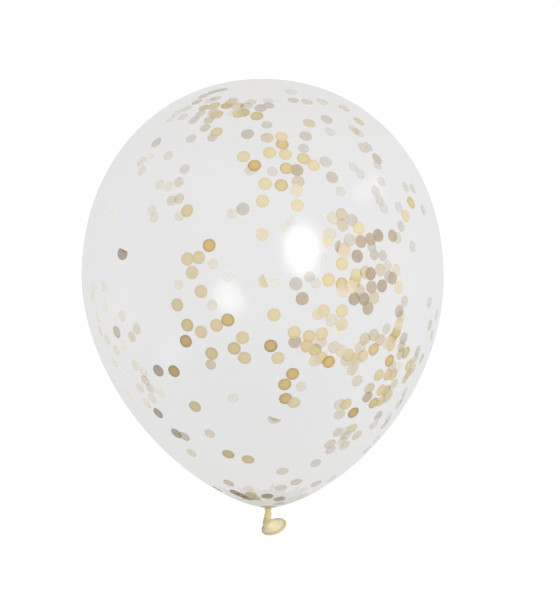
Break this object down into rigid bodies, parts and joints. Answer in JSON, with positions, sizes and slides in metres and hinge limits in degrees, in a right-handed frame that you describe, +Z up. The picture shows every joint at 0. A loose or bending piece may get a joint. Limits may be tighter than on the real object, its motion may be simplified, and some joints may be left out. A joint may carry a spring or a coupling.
{
  "type": "confetti balloon",
  "caption": "Clear round latex balloon, blown up and knotted, lying on its side, with gold and taupe paper confetti sealed inside; decoration for parties.",
  "frame": {"origin": "middle of the small flat under the belly, on the surface the balloon lies on", "axes": "+Y along the balloon's axis towards the crown, -Y towards the knot, +Z up, +X to the right seen from above with the crown away"},
  "size_m": [0.295, 0.372, 0.2938],
  "materials": {
    "clear_latex": "clear stretched latex, glossy and faintly milky",
    "neck_latex": "unstretched cream to amber latex, satin, with a darker rolled bead",
    "gold_confetti": "satin gold tissue paper",
    "champagne_confetti": "matt pale gold tissue paper",
    "taupe_confetti": "matt grey-brown tissue paper"
  },
  "bodies": {
    "root": {"balloon": "clear_latex"}
  },
  "joints": []
}
